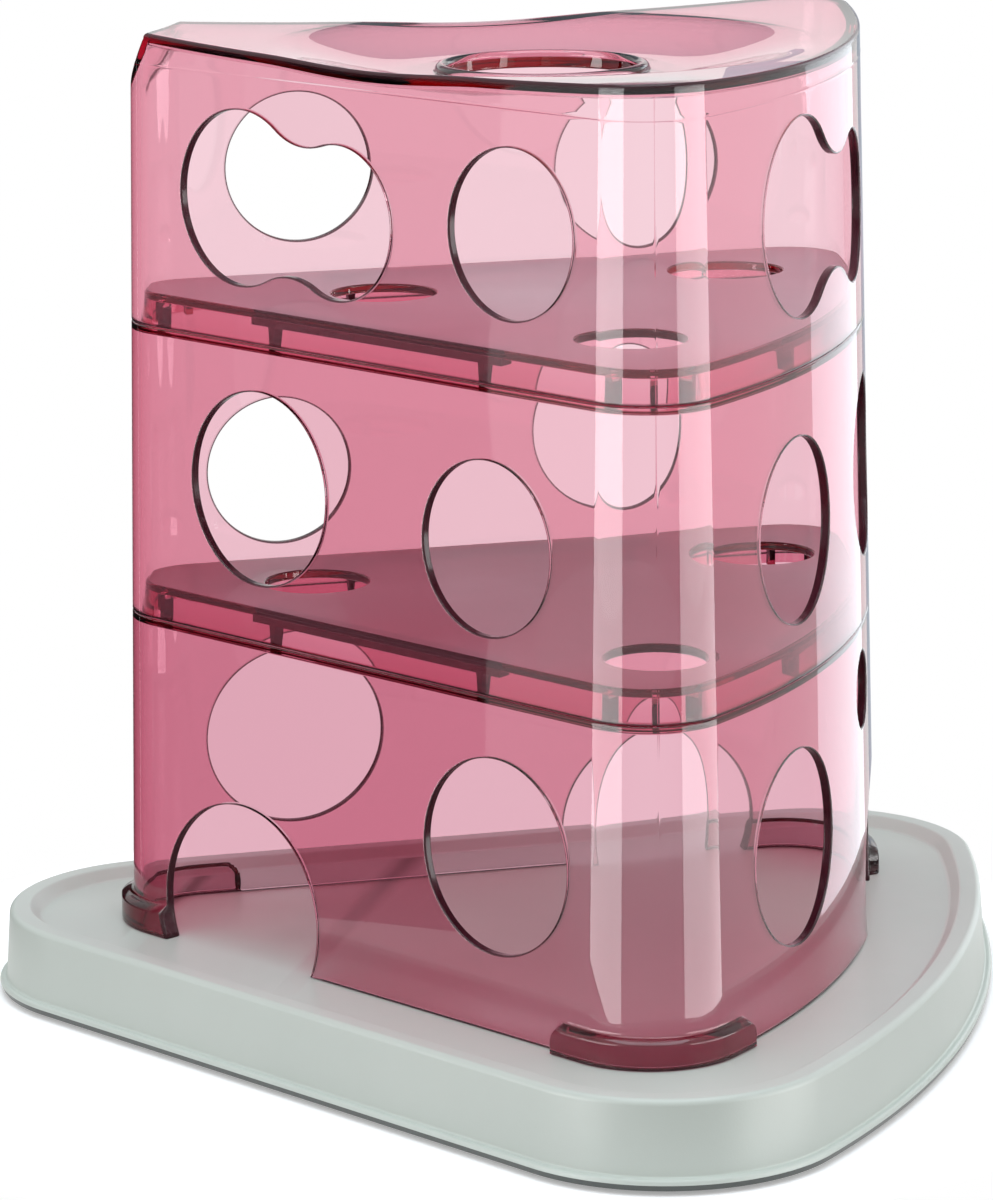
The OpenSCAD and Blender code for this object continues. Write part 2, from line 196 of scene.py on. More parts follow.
def inside(points, loops):
    """Which points lie inside an odd number of the loops."""
    crossings = np.zeros(len(points), int)
    for loop in loops:
        for (ax, ay), (bx, by) in zip(loop, np.roll(loop, -1, axis=0)):
            if ay != by:
                level = (ay > points[:, 1]) != (by > points[:, 1])
                crossings += level & (points[:, 0] < ax + (points[:, 1] - ay) * (bx - ax) / (by - ay))
    return crossings % 2 == 1


def unit(vectors):
    return vectors / np.maximum(np.linalg.norm(vectors, axis=-1, keepdims=True), 1e-12)


def numbered(loops):
    """Numbers of the points of loops that are laid one after the other."""
    ends = np.cumsum([0] + [len(loop) for loop in loops])
    return [np.arange(a, b) for a, b in zip(ends, ends[1:])]


def placed(name, data):
    """New object of the scene."""
    thing = bpy.data.objects.new(name, data)
    bpy.context.scene.collection.objects.link(thing)
    return thing


class Skin:
    """Surface of one moulding: points that coincide are shared, faces look along the normals."""

    def __init__(self):
        self.points, self.normals, self.known = [], [], {}
        self.frost, self.shade = [], []
        self.faces, self.looks = [], []

    def add(self, points, normals, frost=0.0, shade=0.0):
        """Numbers of the points, of which new ones are kept with their normals and marks."""
        numbers = []
        for point, normal, dark in zip(points, np.broadcast_to(normals, points.shape),
                                       np.broadcast_to(shade, len(points))):
            key = tuple(np.round(point, 4) + 0.0)
            if key not in self.known:
                self.known[key] = len(self.points)
                self.points.append(point)
                self.normals.append(normal)
                self.frost.append(frost)
                self.shade.append(dark)
            numbers.append(self.known[key])
        return np.array(numbers)

    def faces_of(self, corners, look=SMOOTH):
        """Adds faces, all turned to the side that their normals look to."""
        points, normals = np.array(self.points)[corners], np.array(self.normals)[corners]
        facing = np.cross(points[:, 1] - points[:, 0], points[:, 2] - points[:, 0])
        if (facing * normals.mean(axis=1)).sum() < 0:
            corners = corners[:, ::-1]
        for face in corners.tolist():
            face = list(dict.fromkeys(face))
            if len(face) > 2:
                self.faces.append(face)
                self.looks.append(look)

    def strip(self, rows, look=SMOOTH):
        """Joins closed rows of points, one after the other."""
        for a, b in zip(rows, rows[1:]):
            self.faces_of(np.stack([a, np.roll(a, -1), np.roll(b, -1), b], axis=1), look)

    def fill(self, flat, loops, numbers, look=SMOOTH):
        """Triangles between loops, drawn in the flat and laid on the numbered points."""
        edges = [(int(a), int(b)) for loop in loops for a, b in zip(loop, np.roll(loop, -1))]
        corners = [Vector(place) for place in flat.tolist()]
        _, _, triangles, origins, _, _ = delaunay_2d_cdt(corners, edges, [], 0, 1e-5)
        triangles = np.array([origin[0] for origin in origins])[np.array(triangles)]
        kept = inside(flat[triangles].mean(axis=1), [flat[loop] for loop in loops])
        self.faces_of(numbers[triangles[kept]], look)

    def piece(self, name, body, node, slot, finish, painted_shade_finish):
        """Makes the piece, riding on a body in place of a node; faces in the painted-shade look take the
        painted shade finish.
        """
        mesh = bpy.data.meshes.new(name)
        mesh.from_pydata((np.array(self.points) * MM).tolist(), [], self.faces)
        mesh.shade_smooth()
        facing = np.array([polygon.normal for polygon in mesh.polygons])
        normals = [self.normals[corner] if self.looks[i] == SMOOTH else facing[i]
                   for i, face in enumerate(self.faces) for corner in face]
        mesh.normals_split_custom_set(np.array(normals).tolist())
        for mark, values in (("frost", self.frost), ("shade", self.shade)):
            attribute = mesh.attributes.new(mark, "FLOAT", "POINT")
            attribute.data.foreach_set("value", np.array(values, np.float32))
        mesh.materials.append(finish)
        mesh.materials.append(painted_shade_finish)
        mesh.polygons.foreach_set("material_index", [int(look == PAINTED_SHADE_LOOK) for look in self.looks])
        piece = placed(name, mesh)
        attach(piece, body)
        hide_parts(node)


def profile(corners, steps=5):
    """Section with rounded corners, each given as d, z and radius: rows of d, z and the normal.

    The path keeps the material on its left, so its normals look to the right.
    """
    path = [np.array(corner[:2], float) for corner in corners]
    rows = []
    for i, (d, z, *radius) in enumerate(corners):
        before = unit(path[i] - path[i - 1]) if i else unit(path[1] - path[0])
        after = unit(path[i + 1] - path[i]) if i + 1 < len(path) else before
        if not radius or not radius[0]:
            rows.append((d, z, before[1], -before[0]))
            continue
        turn = math.atan2(before[0] * after[1] - before[1] * after[0], before @ after)
        reach = radius[0] * math.tan(abs(turn) / 2)
        side = math.copysign(radius[0], turn) * np.array([-before[1], before[0]])
        middle = path[i] - reach * before + side
        for t in np.linspace(0, turn, steps + 1):
            c, n = math.cos(t), math.sin(t)
            arm = np.array([-side[0] * c + side[1] * n, -side[0] * n - side[1] * c])
            way = np.array([before[0] * c - before[1] * n, before[0] * n + before[1] * c])
            rows.append((*(middle + arm), way[1], -way[0]))
    return rows


def swept(skin, plan, rows, painted_shadow_below=-1.0):
    """Runs a section round a plan, with painted shadow below a level; gives the numbers of each row's
    points.
    """
    s = plan.stations
    _, out = plan.frame(s)
    numbers = []
    for d, z, across, up in rows:
        normals = np.concatenate([across * out, np.full((len(s), 1), up)], axis=1)
        points = plan.point(s, np.full(len(s), d), z)
        numbers.append(skin.add(points, normals, shade=float(z < painted_shadow_below)))
    skin.strip(numbers)
    return numbers


def revolved(skin, middle, rows, steps):
    """Turns a section about an upright axis; gives the numbers of each row's points."""
    out = circle(steps)
    numbers = []
    for r, z, across, up in rows:
        points = np.concatenate([np.asarray(middle) + r * out, np.full((steps, 1), z)], axis=1)
        normals = np.concatenate([across * out, np.full((steps, 1), up)], axis=1)
        numbers.append(skin.add(points, normals))
    skin.strip(numbers)
    return numbers


class RoundHole:
    """Round hole of a wall, drawn along s and z."""

    def __init__(self, s, z, d):
        self.middle, self.r = np.array([s, z]), d / 2

    def loop(self, wider):
        """Outline widened by an amount, and the way into the hole at each of its points."""
        out = turned(np.linspace(0, math.tau, 4 * round(self.r) + 12, endpoint=False))
        return self.middle + (self.r + wider) * out, -out


class DoubleHole:
    """Two round holes joined by a neck with round shoulders."""

    def __init__(self, a, b, ra, rb, blend):
        self.a, self.b, self.ra, self.rb, self.blend = np.array(a), np.array(b), ra, rb, blend
        way = np.linalg.norm(self.b - self.a)
        along = (self.b - self.a) / way
        across = np.array([-along[1], along[0]])
        x = ((ra + blend) ** 2 - (rb + blend) ** 2 + way ** 2) / (2 * way)
        y = math.sqrt((ra + blend) ** 2 - x ** 2)
        self.above, self.below = self.a + along * x + across * y, self.a + along * x - across * y

    def loop(self, wider):
        def heading(v):
            return math.atan2(v[1], v[0])
        runs = [(self.a, self.ra + wider, self.above, self.below, 1, 60),
                (self.below, self.blend - wider, self.a, self.b, -1, 14),
                (self.b, self.rb + wider, self.below, self.above, 1, 48),
                (self.above, self.blend - wider, self.b, self.a, -1, 14)]
        outline, into = [], []
        for middle, r, first, last, way, steps in runs:
            start = heading(first - middle)
            turn = (way * (heading(last - middle) - start)) % math.tau * way
            out = turned(start + turn * np.arange(steps) / steps)
            outline.append(middle + r * out)
            into.append(-way * out)
        return np.concatenate(outline), np.concatenate(into)


class FootEdge:
    """Lower edge of a tier's wall, which goes over the arches that stand on it."""

    def __init__(self, plan, z, arches=()):
        self.plan, self.z, self.arches = plan, z, sorted(arches, key=lambda arch: arch.middle[0])

    def loop(self, wider):
        runs, into, at = [], [], 0.0
        level, stations = self.z + wider, np.append(self.plan.stations, self.plan.around)
        for arch in self.arches + [None]:
            if arch:
                low = math.asin((arch.middle[1] - level) / (arch.r + wider))
                half = math.sqrt(arch.r ** 2 - (arch.middle[1] - self.z) ** 2)
                begin = arch.middle[0] - (arch.r + wider) * math.cos(low)
                rest = arch.middle[0] - half
            else:
                begin = rest = self.plan.around
            first = at if not runs else runs[-1][-1, 0]
            between = stations[(stations > at + FOOT_ROOM) & (stations < rest - FOOT_ROOM)]
            between = np.concatenate([[at], between, [rest]])
            share = (between - at) / (rest - at)
            run = np.stack([first + (begin - first) * share, np.full(share.shape, level)], axis=1)
            runs.append(run[1:] if len(runs) else run)
            into.append(np.tile([0.0, -1.0], (len(runs[-1]), 1)))
            if arch:
                out = turned(np.linspace(math.pi + low, -low, TURN_STEPS))
                runs.append((arch.middle + (arch.r + wider) * out)[1:])
                into.append(-out[1:])
                into[-2][-1] = unit(into[-2][-1] - out[0])
                into[-1][-1] = unit(np.array([0.0, -1.0]) - out[-1])
                at = arch.middle[0] + half
        return np.concatenate(runs), np.concatenate(into)


class Wall:
    """Wall of a tier: an outer and an inner face over the plan, cut by holes and a foot edge."""

    def __init__(self, skin, plan, outer, inner, foot, holes):
        self.skin, self.plan, self.outer, self.inner = skin, plan, outer, inner
        self.foot, self.holes = foot, holes

    def tangents(self, face, s, z):
        """Directions along and up a face."""
        def at(ahead, above):
            return self.plan.point(s + ahead, face(s + ahead, z + above), z + above)
        step = 0.05
        return unit(at(step, 0) - at(-step, 0)), unit(at(0, step) - at(0, -step))

    def face(self, face, side, top, levels, shade=None):
        """One face of the wall up to the heights of its top edge, with painted shade where a shade function
        gives it.
        """
        stations = np.append(self.plan.stations, self.plan.around)
        top = np.append(top, top[0])
        foot, _ = self.foot.loop(EDGE_R)
        loops = [hole.loop(EDGE_R)[0] for hole in self.holes]
        clear = [hole.loop(EDGE_R + EDGE_ROOM)[0] for hole in self.holes + self.foot.arches]
        grid = np.stack(np.meshgrid(stations[1:-1], levels), axis=-1).reshape(-1, 2)
        grid = grid[grid[:, 1] < np.interp(grid[:, 0], stations, top) - TOP_ROOM]
        for loop in clear:
            grid = grid[~inside(grid, [loop])]
        ends = np.array([z for z in levels if z < top[0] - TOP_ROOM])
        edge = np.concatenate([
            foot, np.column_stack([np.full(len(ends), self.plan.around), ends]),
            np.column_stack([stations, top])[::-1], np.column_stack([np.zeros(len(ends)), ends])[::-1]])
        flat = np.concatenate([edge, *loops, grid])
        s, z = flat[:, 0], flat[:, 1]
        along, up = self.tangents(face, s, z)
        numbers = self.skin.add(self.plan.point(s, face(s, z), z), side * unit(np.cross(along, up)),
                                shade=shade(s, z) if shade else 0.0)
        self.skin.fill(flat, numbered([edge, *loops]), numbers)

    def edges(self, steps=4):
        """Rounded edges of the holes and of the foot, from the outer to the inner face, with painted shade
        on them.
        """
        quarter = np.linspace(0, math.pi / 2, steps + 1)
        rounds = [(EDGE_R * (1 - math.sin(t)), EDGE_R * (1 - math.cos(t)), math.cos(t), math.sin(t))
                  for t in quarter]
        rounds += [(wider, WALL - depth, -face, into) for wider, depth, face, into in rounds[::-1]]
        for cut in self.holes + [self.foot]:
            rows = []
            for wider, depth, face, into in rounds:
                outline, way = cut.loop(wider)
                s, z = outline[:, 0], outline[:, 1]
                outer, inner = self.outer(s, z), self.inner(s, z)
                along, up = self.tangents(self.outer if depth < WALL / 2 else self.inner, s, z)
                normals = unit(face * np.cross(along, up)
                               + into * (way[:, :1] * along + way[:, 1:] * up))
                points = self.plan.point(s, outer + (inner - outer) * depth / WALL, z)
                # Painted shade all along the cut edges
                rows.append(self.skin.add(points, normals, shade=EDGE_SHADE))
            self.skin.strip(rows)


def face_d(z):
    """Outer face of the tower's walls, from the corner centres."""
    return CORNER_R - DRAFT * (z - LOWER_Z)


def wall_holes(plan, tier, foot_z):
    """Paw holes of a tier's wall."""
    holes = [RoundHole(plan.place(side, hole), foot_z + hole[2], hole[3])
             for side, row in ROUND_HOLES[tier].items() for hole in row]
    if tier == "top":
        for side, (a, b, blend) in DOUBLE_HOLES.items():
            holes.append(DoubleHole((plan.place(side, a), foot_z + a[2]),
                                    (plan.place(side, b), foot_z + b[2]), a[3] / 2, b[3] / 2, blend))
    return holes


def footprint(plan, s, length, d, depth, steps=1):
    """Outline of a rib that stands along a wall, in the plan."""
    way = np.linspace(s - length / 2, s + length / 2, steps + 1)
    way, d = np.concatenate([way, way[::-1]]), np.repeat([d, d - depth], steps + 1)
    return plan.point(way, d, 0)[:, :2]


def upright(skin, upper, high, lower, low, look=PAINTED_SHADE_LOOK):
    """Rib below a plate, from its outline there down to its lower outline, closed underneath."""
    rows = []
    for outline, z in ((upper, high), (lower, low)):
        out = unit(outline - outline.mean(axis=0))
        rows.append(skin.add(np.column_stack([outline, np.full(len(outline), z)]),
                             np.column_stack([out, np.zeros(len(outline))])))
    skin.strip(rows, look)


def level_plate(skin, loops, z, up, frost=0.0, look=SMOOTH):
    """Flat plate between loops of plan points at one height."""
    flat = np.concatenate(loops)
    numbers = skin.add(np.column_stack([flat, np.full(len(flat), z)]), np.array([0.0, 0, up]), frost)
    skin.fill(flat, numbered(loops), numbers, look)


def plan_points(skin, numbers):
    """Numbered points of a skin, in the flat."""
    return np.array(skin.points)[numbers][:, :2]


def carrying_tier(tier, foot_z, seam, outer, arches=(), shade=None):
    """Tier with a shoulder and a raised, frosted floor that the next tier slips over."""
    skin, plan = Skin(), TOWER
    raised, under = seam + PLATEAU_H, seam + PLATEAU_H - FLOOR_T
    step_in = face_d(seam) - WALL - SLIP_GAP
    drawn_in = step_in - PLATEAU_LEAD
    inner_d, low = drawn_in - WALL, seam - SHOULDER_T
    over = profile([(face_d(seam - LEAD), seam - LEAD), (face_d(seam), seam, SEAM_R),
                    (step_in, seam, STEP_R), (drawn_in, raised, PLATEAU_R), (drawn_in - LEAD, raised)])[1:-1]
    below = profile([(inner_d - LEAD, under), (inner_d, under, INNER_R), (inner_d, low, 0.5),
                     (face_d(low) - WALL, low, STEP_R), (face_d(low - LEAD) - WALL, low - LEAD)])[1:-1]
    treats = [plan.corner[angle] + [MIDDLE_X + x, y] for angle, x, y in TREAT_HOLES[tier]]
    r = TREAT_D / 2
    bore = profile([(r + LEAD, raised), (r, raised, EDGE_R), (r, under, EDGE_R), (r + LEAD, under)])[1:-1]

    # The frosted plate goes first, so that its rims keep the frost
    ring = circle(TURN_STEPS)
    level_plate(skin, [plan.outline(over[-1][0])] + [middle + bore[0][0] * ring for middle in treats],
                raised, 1, frost=1.0)
    swept(skin, plan, over)
    for middle in treats:
        revolved(skin, middle, bore, TURN_STEPS)

    # Bars along the sides with their gussets, and ribs round the corners
    reach = inner_d - RIB_GAP
    bars, ribs = [], []
    for side in ("left", "bow", "right"):
        gussets = [[footprint(plan, plan.middle(side) + end * GUSSET_PITCH / 2, thick,
                              reach - GUSSET_GAP, RIB_REACH) for thick in (GUSSET_T, GUSSET_TIP)]
                   for end in (-1, 1)]
        bars.append((footprint(plan, plan.middle(side), BAR_L, reach, BAR_W, 16), gussets))
    for name in ("left_corner", "front_corner"):
        for share in (0, 0.5, 1):
            ribs.append(plan.start[name] + share * plan.length[name])
    # The right corner's middle is where s starts again, so its rib stands a hair before it
    ribs += [plan.start["right_corner"], plan.around - 0.01, plan.start["right"]]
    ribs = [footprint(plan, at, RIB_T * CORNER_R / inner_d, reach, RIB_REACH) for at in ribs]
    level_plate(skin, [plan.outline(below[0][0])] + [middle + bore[-1][0] * ring for middle in treats]
                + [bar for bar, _ in bars] + ribs, under, -1)
    swept(skin, plan, below)
    # Bars and gussets take the painted near-black shade in place of clear plastic; the corner ribs stay
    # clear and flat
    for bar, gussets in bars:
        upright(skin, bar, under, bar, under - BAR_T)
        level_plate(skin, [bar] + [root for root, _ in gussets], under - BAR_T, -1, look=PAINTED_SHADE_LOOK)
        for root, tip in gussets:
            upright(skin, root, under - BAR_T, tip, low)
            level_plate(skin, [tip], low, -1, look=PAINTED_SHADE_LOOK)
    for rib in ribs:
        upright(skin, rib, under, rib, low, FLAT)
        level_plate(skin, [rib], low, -1, look=FLAT)

    wall = Wall(skin, plan, outer, lambda s, z: face_d(z) - WALL, FootEdge(plan, foot_z, arches),
                wall_holes(plan, tier, foot_z))
    # Levels close together where the collars end
    levels = np.concatenate([np.arange(foot_z + FIRST_LEVEL, foot_z + 11, 0.8),
                             np.arange(foot_z + 12, seam, LEVEL_STEP)])
    wall.face(wall.outer, 1, np.full(len(plan.stations), over[0][1]), levels, shade)
    wall.face(wall.inner, -1, np.full(len(plan.stations), below[-1][1]), levels)
    wall.edges()
    return skin


def collar(s, z):
    """How much of a collar's thickness stands at a place of the lower tier, from 0 to 1."""
    swell = np.zeros(np.broadcast(s, z).shape)
    for first, last in COLLARS:
        near, below = np.minimum(s - first, last - s), LOWER_Z + COLLAR_H - z
        gap = np.hypot(np.maximum(COLLAR_END_R - near, 0), np.maximum(COLLAR_END_R - below, 0))
        depth = np.minimum(np.maximum(COLLAR_END_R - gap, 0), np.minimum(near, below))
        swell = np.maximum(swell, smooth(depth / COLLAR_BLEND + COLLAR_START))
    return swell


def collared(s, z):
    """Outer face of the lower tier, with its collars round the feet of the corners."""
    return face_d(z) + parting(s) + (COLLAR_T + face_d(LOWER_Z) - face_d(z)) * collar(s, z)


def collar_painted_shade(s, z):
    """Painted shade on the collars, which are more than twice as thick as the wall, added to the depth of
    colour that the plastic already gives.
    """
    return COLLAR_SHADE * collar(s, z)


def plain(s, z):
    """Outer face of the middle tier."""
    return face_d(z) + parting(s)


def parting(s):
    """Fine upright ridge down the middle of the front corner, where the mould parts."""
    return PARTING_H * np.exp(-((s - PARTING_S) / PARTING_W) ** 2)


def dish_at(r):
    """Height of the dished top at a distance from the middle."""
    slope = smooth((r - DISH_BOTTOM_R) / (DISH_TOP_R - DISH_BOTTOM_R))
    return DISH_Z + r ** 2 / (2 * RIM_SPHERE_R) - DISH_DEPTH * (1 - slope)


def notch_d(s, z, inset):
    """Distance of the thumb notch's leaning plane, moved in by an inset, at the pointed corner."""
    lean, least, far = NOTCH_DEPTH / NOTCH_H, -0.2, 99.0
    foot_x = -SPAN / math.sqrt(3) - face_d(NOTCH_RIM - NOTCH_H) + inset * math.hypot(1, lean)
    centre, out = TOWER.frame(s)
    plane_x = foot_x + (z - NOTCH_RIM + NOTCH_H) * lean
    towards = np.minimum(out[..., 0], least)
    return np.where(out[..., 0] < least, (plane_x - centre[..., 0]) / towards, far)


def notched(inset):
    """Face of the top tier, moved in by an inset, with the thumb notch at the pointed corner."""
    def face(s, z):
        cut, wall = notch_d(s, z, inset), face_d(z) - inset
        if not inset:
            wall = wall + parting(s) + LINE_H * np.exp(-((z - PARTING_Z) / LINE_W) ** 2)
        return (cut + wall - np.sqrt((cut - wall) ** 2 + NOTCH_BLEND)) / 2
    return face


def notch_painted_shade(s, z):
    """Painted shade on the inner face along the notch's far edge, and on a crescent beside it."""
    way = notch_d(s, z, WALL) - face_d(z) + WALL
    far = smooth((TOWER.middle("left_corner") - s) / 2 + 0.5)
    reach = CRESCENT_W * np.clip((z - (NOTCH_RIM - NOTCH_H)) / NOTCH_H, 0, 1) ** 0.7
    line = np.exp(-(way / CREASE_W) ** 2)
    crescent = smooth(way / CREASE_W) * smooth((reach - way) / 0.8 + 0.5)
    return far * (NOTCH_SHADE * line + CRESCENT_SHADE * crescent)


def top_tier():
    """Tier with a dished top, a lipped filling hole and a thumb notch."""
    skin, plan = Skin(), TOWER
    s = plan.stations
    centre, out = plan.frame(s)
    outer, inner = notched(0), notched(WALL)

    def radius(d):
        """Distance of the places at d from the middle."""
        return np.linalg.norm(centre + d[:, None] * out, axis=1)

    def rim_of(face, drop):
        """Heights at which a face meets the dished surface, lowered by a drop."""
        # A first height near the rim settles in four steps
        z = np.full(len(s), DISH_Z + 5.0)
        for _ in range(4):
            z = dish_at(radius(face(s, z))) - drop
        return z

    def dish(loops, drop, up):
        """The dished surface, lowered by a drop, between plan loops."""
        across, steps, room, near = 3.5, 90, 1.6, 0.05
        rings = [r * turned((np.arange(steps) + 0.5 * (i % 2)) / steps * math.tau)
                 for i, r in enumerate(np.arange(lip_r + 3, SPAN, across))]
        grid = np.concatenate(rings)
        shrunk = loops[0] * (1 - room / np.linalg.norm(loops[0], axis=1, keepdims=True))
        grid = grid[inside(grid, [shrunk])]
        flat = np.concatenate([*loops, grid])
        r = np.linalg.norm(flat, axis=1)
        slope = (dish_at(r + near) - dish_at(r - near)) / (2 * near)
        normals = up * unit(np.column_stack([-slope[:, None] * flat / r[:, None], np.ones(len(r))]))
        numbers = skin.add(np.column_stack([flat + [MIDDLE_X, 0], dish_at(r) - drop]), normals)
        skin.fill(flat, numbered(loops), numbers)

    fill_r, lip_r, lip_round = FILL_D / 2, FILL_D / 2 + LIP_T, LIP_T / 2 - 0.01
    lip_top, lip_foot = dish_at(DISH_BOTTOM_R) + LIP_H, dish_at(lip_r + LIP_FOOT_R)
    lip_under = dish_at(fill_r + FILL_R) - WALL
    lip = profile([(lip_r + LEAD, lip_foot), (lip_r, lip_foot, LIP_FOOT_R), (lip_r, lip_top, lip_round),
                   (fill_r, lip_top, lip_round), (fill_r, lip_under, FILL_R),
                   (fill_r + LEAD, lip_under)], 7)[1:-1]

    ring = circle(FILL_STEPS)
    rim, ceiling = rim_of(outer, 0), rim_of(inner, WALL)
    rim_d, ceiling_d = outer(s, rim) - RIM_R, inner(s, ceiling) - RIM_R
    dish([centre + rim_d[:, None] * out, lip[0][0] * ring], 0, 1)
    dish([centre + ceiling_d[:, None] * out, lip[-1][0] * ring], WALL, -1)
    revolved(skin, (MIDDLE_X, 0), lip, FILL_STEPS)
    for face, level, last_d, drop, side in ((outer, rim, rim_d, 0, 1),
                                            (inner, ceiling, ceiling_d, WALL, -1)):
        first_d, first_z, last_z = face(s, level - RIM_R), level - RIM_R, dish_at(radius(last_d)) - drop
        rows = []
        for t in np.linspace(0, math.pi / 2, 7):
            # Painted shade round the outside of the rim, and clear again where it meets the dish
            shade = RIM_SHADE * min(1.0, 0.6 + t, 2.2 * math.cos(t)) if side > 0 else 0.0
            d = first_d + (last_d - first_d) * (1 - math.cos(t))
            z = first_z + (last_z - first_z) * math.sin(t)
            normals = side * np.column_stack([math.cos(t) * out, np.full(len(s), math.sin(t))])
            rows.append(skin.add(plan.point(s, d, z), normals, shade=shade))
        skin.strip(rows)

    wall = Wall(skin, plan, outer, inner, FootEdge(plan, TOP_Z), wall_holes(plan, "top", TOP_Z))
    # Levels close together across the notch and at the level ridge
    close_from = DISH_Z - 14
    levels = np.concatenate([np.arange(TOP_Z + FIRST_LEVEL, close_from, LEVEL_STEP),
                             np.arange(close_from, DISH_Z + 6, 0.7),
                             PARTING_Z + LINE_W * np.array([-1.8, -1, 0, 1, 1.8])])
    wall.face(outer, 1, rim - RIM_R, levels)
    wall.face(inner, -1, ceiling - RIM_R, levels, notch_painted_shade)
    wall.edges()
    return skin


def foot_places(plan):
    """Middles of the six feet, near the corners and near the middles of the sides."""
    d = TRAY_CORNER_R - FOOT_INSET
    places = [plan.corner[a] + d * turned(math.radians(a)) for a in (180, -60, 60)]
    places += [(plan.span / math.sqrt(12) + d) * turned(math.radians(a)) for a in (120, -120)]
    return places + [plan.bow_middle + [plan.bow_r - FOOT_INSET, 0]]


def base_tray():
    """Low tray: a rounded rim, a leaning side with a flange, and ribs and bosses underneath."""
    skin = Skin()
    plan = Plan(TRAY_SPAN, TRAY_CORNER_R, TRAY_BOW_R, corner_steps=72, side_steps=24, bow_steps=48)
    floor, rim_z = LOWER_Z, LOWER_Z + TRAY_RIM_H
    rim_d = TRAY_CORNER_R - TRAY_RIM_W
    side_d, flange_d = TRAY_CORNER_R + TRAY_LEAN, TRAY_CORNER_R + TRAY_LEAN + FLANGE_OUT
    flange_z, undercut_z = TRAY_BASE + FLANGE_H, TRAY_BASE + UNDERCUT_H
    hollow_d, hollow_z = TRAY_CORNER_R - TRAY_WALL, floor - TRAY_WALL
    # From the ceiling of the hollow down its side, round the flange, over the rim and to the floor
    around = profile([
        (hollow_d - LEAD, hollow_z), (hollow_d, hollow_z, 1.5), (side_d - TRAY_WALL, TRAY_BASE, 0.4),
        (flange_d - UNDERCUT_IN, TRAY_BASE, 0.3), (flange_d, undercut_z, 0.5),
        (flange_d - FLANGE_EDGE / 2, flange_z, 0.9), (side_d - 0.2, flange_z, 0.6),
        (TRAY_CORNER_R, rim_z, 1.8), (rim_d + TRAY_RIM_W / 3, rim_z, 1.1), (rim_d, floor, 1.6),
        (rim_d - LEAD, floor)], 6)[1:-1]
    # Rows below the undercut's break carry the shade mark, a painted shadow on the tray
    rows = swept(skin, plan, around, undercut_z)
    level_plate(skin, [plan_points(skin, rows[-1])], floor, 1)
    level_plate(skin, [plan_points(skin, rows[0])], hollow_z, -1)
    seat_r, seat_z, boss_r = FOOT_SEAT_D / 2, box["foot_1"][1][2], FOOT_SEAT_D / 2 + BOSS_WALL
    section = profile([(seat_r, seat_z), (seat_r, TRAY_BASE, 0.3), (boss_r, TRAY_BASE, 0.5),
                       (boss_r, hollow_z + BOSS_SINK)])
    low, high = hollow_z - TRAY_RIB_H, hollow_z + RIB_SINK
    for place in foot_places(plan):
        boss = revolved(skin, place + [MIDDLE_X, 0], section, 48)
        level_plate(skin, [plan_points(skin, boss[0])], seat_z, -1)
        ahead = unit(place)
        across = np.array([-ahead[1], ahead[0]]) * TRAY_RIB_T / 2
        far = place - ahead * (seat_r + RIB_SINK)
        rib = np.array([-across, far - across, far + across, across]) + [MIDDLE_X, 0]
        # On the tray both finishes are the mint plastic, so the painted-shade look paints nothing here
        upright(skin, rib, high, rib, low)
        level_plate(skin, [rib], low, -1, look=PAINTED_SHADE_LOOK)
    ring_r, ring_low = TRAY_RING_D / 2, low + 0.05
    revolved(skin, (MIDDLE_X, 0), profile([
        (ring_r - TRAY_RIB_T, high), (ring_r - TRAY_RIB_T, ring_low, 0.3), (ring_r, ring_low, 0.3),
        (ring_r, high)]), TURN_STEPS)
    return skin


class Value:
    """Output of a node; arithmetic on values adds Math nodes."""

    def __init__(self, finish, socket):
        self.finish, self.socket = finish, socket

    def maths(self, operation, first, second):
        return self.finish.node("Math", {"operation": operation}, {0: first, 1: second})

    def __add__(self, other):
        return self.maths("ADD", self, other)

    def __sub__(self, other):
        return self.maths("SUBTRACT", self, other)

    def __rsub__(self, other):
        return self.maths("SUBTRACT", other, self)

    def __mul__(self, other):
        return self.maths("MULTIPLY", self, other)

    def at_most(self, other):
        return self.maths("MINIMUM", self, other)

    __radd__, __rmul__ = __add__, __mul__


class Finish:
    """Nodes of one material or of the world."""

    def __init__(self, owner):
        owner.use_nodes = True
        self.owner, self.tree = owner, owner.node_tree
        self.tree.nodes.clear()

    def node(self, kind, settings, sockets, output=0):
        """Adds a node: its settings first, then the values or links of its sockets."""
        node = self.tree.nodes.new("ShaderNode" + kind)
        for name, setting in settings.items():
            setattr(node, name, setting)
        for name, value in sockets.items():
            if isinstance(value, Value):
                self.tree.links.new(value.socket, node.inputs[name])
            else:
                node.inputs[name].default_value = value
        return Value(self, node.outputs[output])

    def mottle(self, scale, detail=2.0):
        """Soft noise over the piece, from 0 to 1."""
        place = self.node("TexCoord", {}, {}, "Object")
        return self.node("TexNoise", {}, {"Vector": place, "Scale": scale, "Detail": detail})

    def marked(self, mark):
        """Value of a mark that the mesh carries at its points."""
        return self.node("Attribute", {"attribute_name": mark}, {}, "Fac")

    def blend(self, share, first, second):
        """Mix of two colours."""
        return self.node("Mix", {"data_type": "RGBA"}, {0: share, 6: first, 7: second}, 2)

    def bump(self, height, strength, distance):
        """Normal of a fine relief."""
        return self.node("Bump", {}, {"Height": height, "Strength": strength, "Distance": distance})

    def done(self, **sockets):
        """Adds the output; gives the material or world."""
        kind = "OutputWorld" if isinstance(self.owner, bpy.types.World) else "OutputMaterial"
        self.node(kind, {}, sockets, slice(0, 0))
        return self.owner


